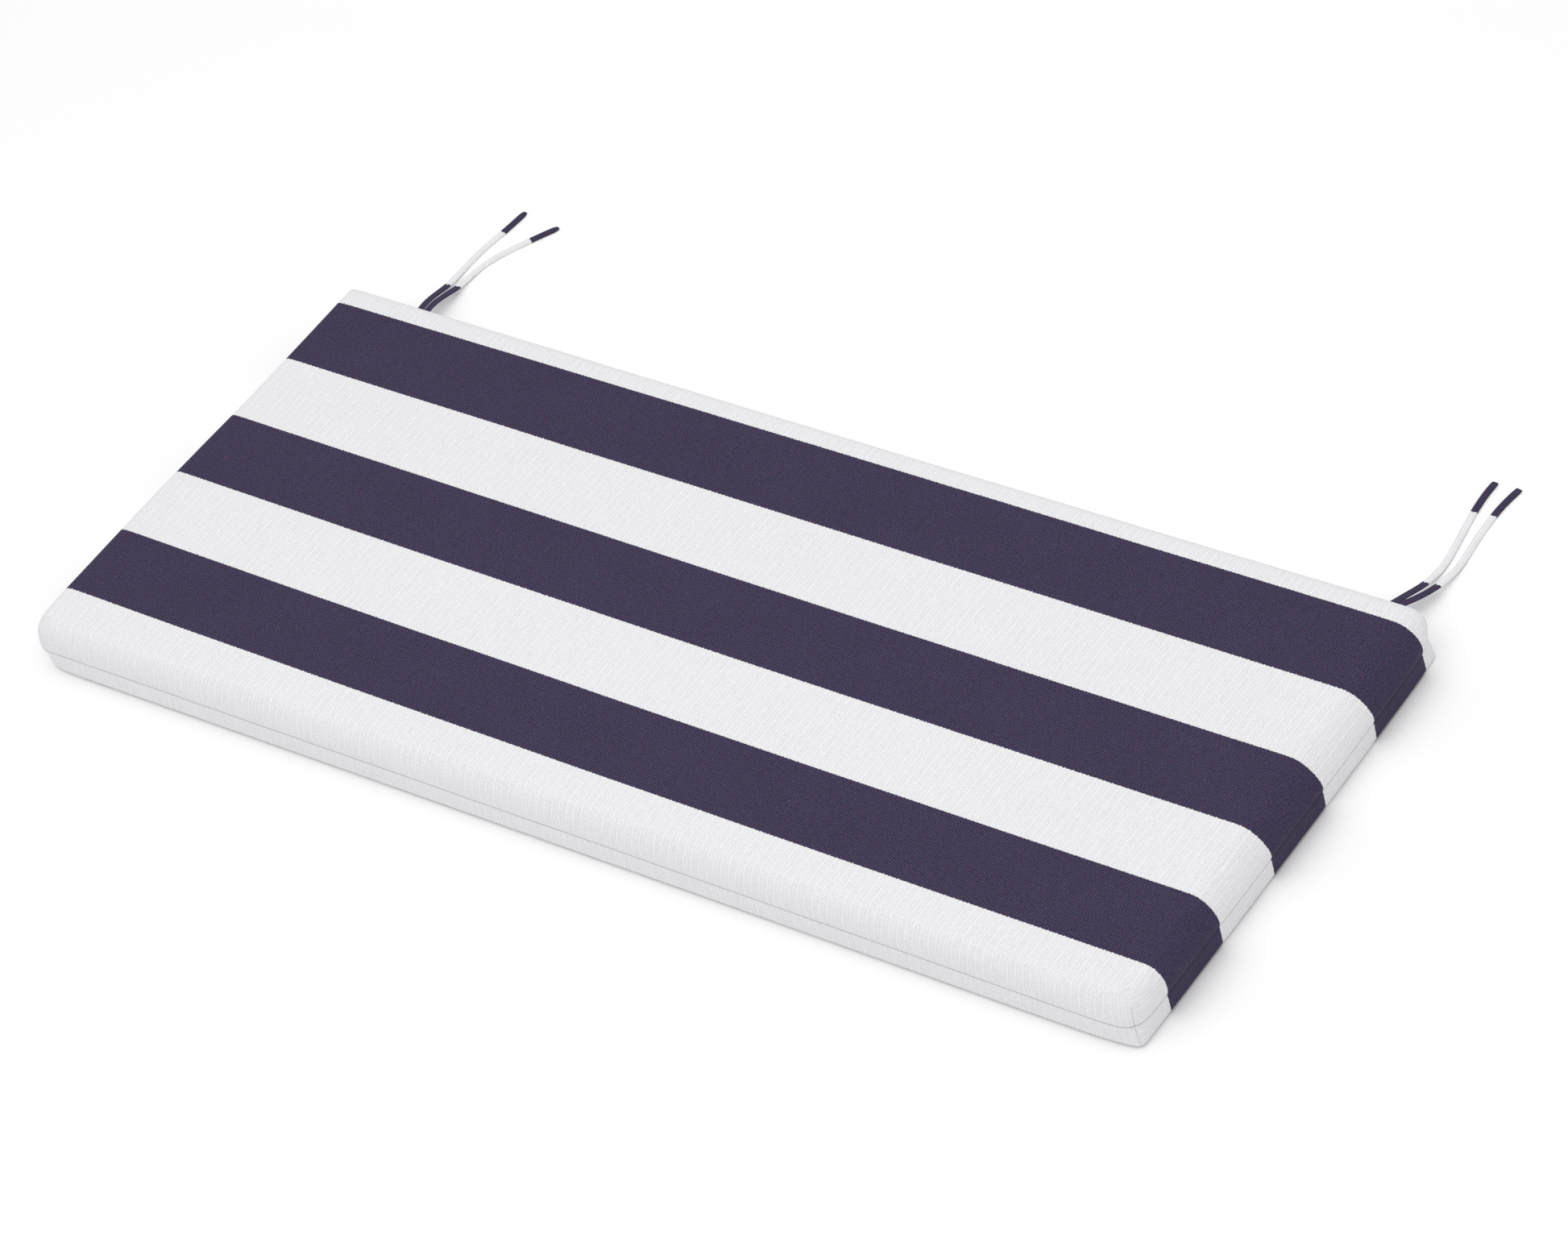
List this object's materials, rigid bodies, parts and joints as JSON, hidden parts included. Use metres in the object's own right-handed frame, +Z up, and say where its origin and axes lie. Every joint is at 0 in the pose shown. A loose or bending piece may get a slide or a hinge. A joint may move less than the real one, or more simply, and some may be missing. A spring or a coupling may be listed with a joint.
{
  "type": "bench cushion",
  "caption": "Long rectangular bench cushion: woven striped cover over a foam filling, one seam round its sides with darted corners, and tie strips sewn into the back seam.",
  "frame": {"origin": "middle of the cushion's footprint, on the surface that it lies on; the ties are not counted", "axes": "+X along the cushion's length, +Y from its front edge towards the back edge with the ties, +Z up through its thickness"},
  "size_m": [1.1179, 0.64, 0.0529],
  "materials": {
    "cover_cloth": "matt woven cloth in wide navy and white stripes that run along the length",
    "tie_cloth": "matt woven cloth, the cover's own, cut across its stripes: navy, white, navy"
  },
  "bodies": {
    "root": {"cushion": "cover_cloth", "tie_left_outer": "tie_cloth", "tie_left_inner": "tie_cloth", "tie_right_inner": "tie_cloth", "tie_right_outer": "tie_cloth"}
  },
  "joints": []
}
